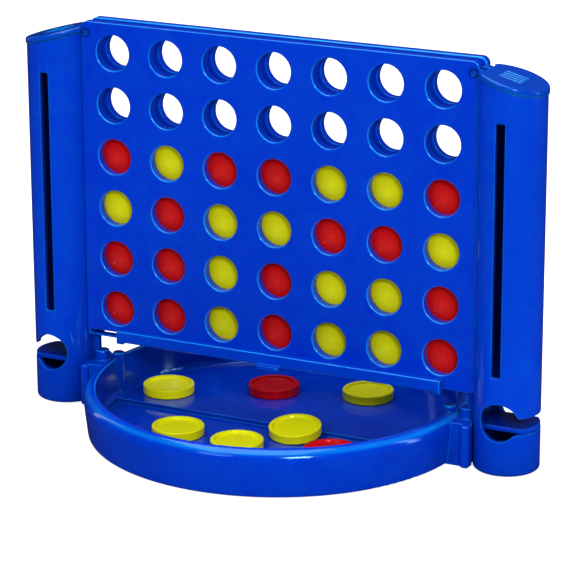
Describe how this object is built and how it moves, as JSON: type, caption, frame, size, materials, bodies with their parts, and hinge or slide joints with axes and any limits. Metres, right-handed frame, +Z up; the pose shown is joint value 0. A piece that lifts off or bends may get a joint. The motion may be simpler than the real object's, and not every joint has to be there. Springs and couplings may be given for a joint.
{
  "type": "four in a row frame",
  "caption": "Travel-size vertical four in a row game: slotted disc grid between two storage towers with hinged caps, sliding release bar and round catch tray.",
  "frame": {"origin": "on the ground, midway between the two storage towers, in the plane of their axes", "axes": "+Z up, X along the grid, -Y towards the front panel with the release bar"},
  "size_m": [0.2328, 0.164, 0.167],
  "materials": {
    "blue_body": "glossy moulded polystyrene, royal blue",
    "towers": "glossy moulded polystyrene, royal blue",
    "caps": "glossy moulded polystyrene, royal blue, fine moulded ridges",
    "slider": "glossy moulded polystyrene, royal blue",
    "tray": "glossy moulded polystyrene, royal blue",
    "red_disc": "satin-gloss moulded plastic, red",
    "yellow_disc": "satin-gloss moulded plastic, lemon yellow"
  },
  "bodies": {
    "tray": {"tray": "tray", "tray_disc_1_yellow": "yellow_disc", "tray_disc_2_red": "red_disc", "tray_disc_3_yellow": "yellow_disc", "tray_disc_4_yellow": "yellow_disc", "tray_disc_5_yellow": "yellow_disc", "tray_disc_6_red": "red_disc", "tray_disc_7_yellow": "yellow_disc"},
    "frame": {"column_dividers": "blue_body", "disc_c1_r1_red": "red_disc", "disc_c1_r2_red": "red_disc", "disc_c1_r3_yellow": "yellow_disc", "disc_c2_r1_red": "red_disc", "disc_c2_r2_red": "red_disc", "disc_c2_r3_red": "red_disc", "disc_c3_r1_yellow": "yellow_disc", "disc_c3_r2_yellow": "yellow_disc", "disc_c3_r3_yellow": "yellow_disc", "disc_c4_r1_red": "red_disc", "disc_c4_r2_red": "red_disc", "disc_c4_r3_yellow": "yellow_disc", "disc_c5_r1_yellow": "yellow_disc", "disc_c5_r2_yellow": "yellow_disc", "disc_c5_r3_red": "red_disc", "disc_c6_r1_yellow": "yellow_disc", "disc_c6_r2_yellow": "yellow_disc", "disc_c6_r3_red": "red_disc", "disc_c7_r1_red": "red_disc", "disc_c7_r2_red": "red_disc", "disc_c7_r3_yellow": "yellow_disc", "front_panel": "blue_body", "left_dispenser_shelf": "blue_body", "left_end_post": "blue_body", "left_tower": "towers", "rear_panel": "blue_body", "right_dispenser_shelf": "blue_body", "right_end_post": "blue_body", "right_tower": "towers"},
    "left_cap": {"left_cap": "caps"},
    "right_cap": {"right_cap": "caps"},
    "release_slider": {"release_slider": "slider"},
    "top_disc_1": {"disc_c1_r4_red": "red_disc"},
    "top_disc_2": {"disc_c2_r4_yellow": "yellow_disc"},
    "top_disc_3": {"disc_c3_r4_red": "red_disc"},
    "top_disc_4": {"disc_c4_r4_red": "red_disc"},
    "top_disc_5": {"disc_c5_r4_yellow": "yellow_disc"},
    "top_disc_6": {"disc_c6_r4_yellow": "yellow_disc"},
    "top_disc_7": {"disc_c7_r4_red": "red_disc"}
  },
  "joints": [
    {"name": "right_cap_hinge", "type": "hinge", "parent": "frame", "child": "right_cap", "pos_m": [0.08705, 0, 0.1622], "axis": [0, -1, 0], "range_deg": [0, 75]},
    {"name": "left_cap_hinge", "type": "hinge", "parent": "frame", "child": "left_cap", "pos_m": [-0.08705, 0, 0.1622], "axis": [0, 1, 0], "range_deg": [0, 75]},
    {"name": "release_slide", "type": "slide", "parent": "frame", "child": "release_slider", "axis": [-1, 0, 0], "range_m": [0, 0.0124]},
    {"name": "frame_lift", "type": "slide", "parent": "tray", "child": "frame", "axis": [0, 0, 1], "range_m": [0, 0.025]},
    {"name": "drop_1", "type": "slide", "parent": "frame", "child": "top_disc_1", "axis": [0, 0, 1], "range_m": [0, 0.068]},
    {"name": "drop_2", "type": "slide", "parent": "frame", "child": "top_disc_2", "axis": [0, 0, 1], "range_m": [0, 0.068]},
    {"name": "drop_3", "type": "slide", "parent": "frame", "child": "top_disc_3", "axis": [0, 0, 1], "range_m": [0, 0.068]},
    {"name": "drop_4", "type": "slide", "parent": "frame", "child": "top_disc_4", "axis": [0, 0, 1], "range_m": [0, 0.068]},
    {"name": "drop_5", "type": "slide", "parent": "frame", "child": "top_disc_5", "axis": [0, 0, 1], "range_m": [0, 0.068]},
    {"name": "drop_6", "type": "slide", "parent": "frame", "child": "top_disc_6", "axis": [0, 0, 1], "range_m": [0, 0.068]},
    {"name": "drop_7", "type": "slide", "parent": "frame", "child": "top_disc_7", "axis": [0, 0, 1], "range_m": [0, 0.068]}
  ]
}
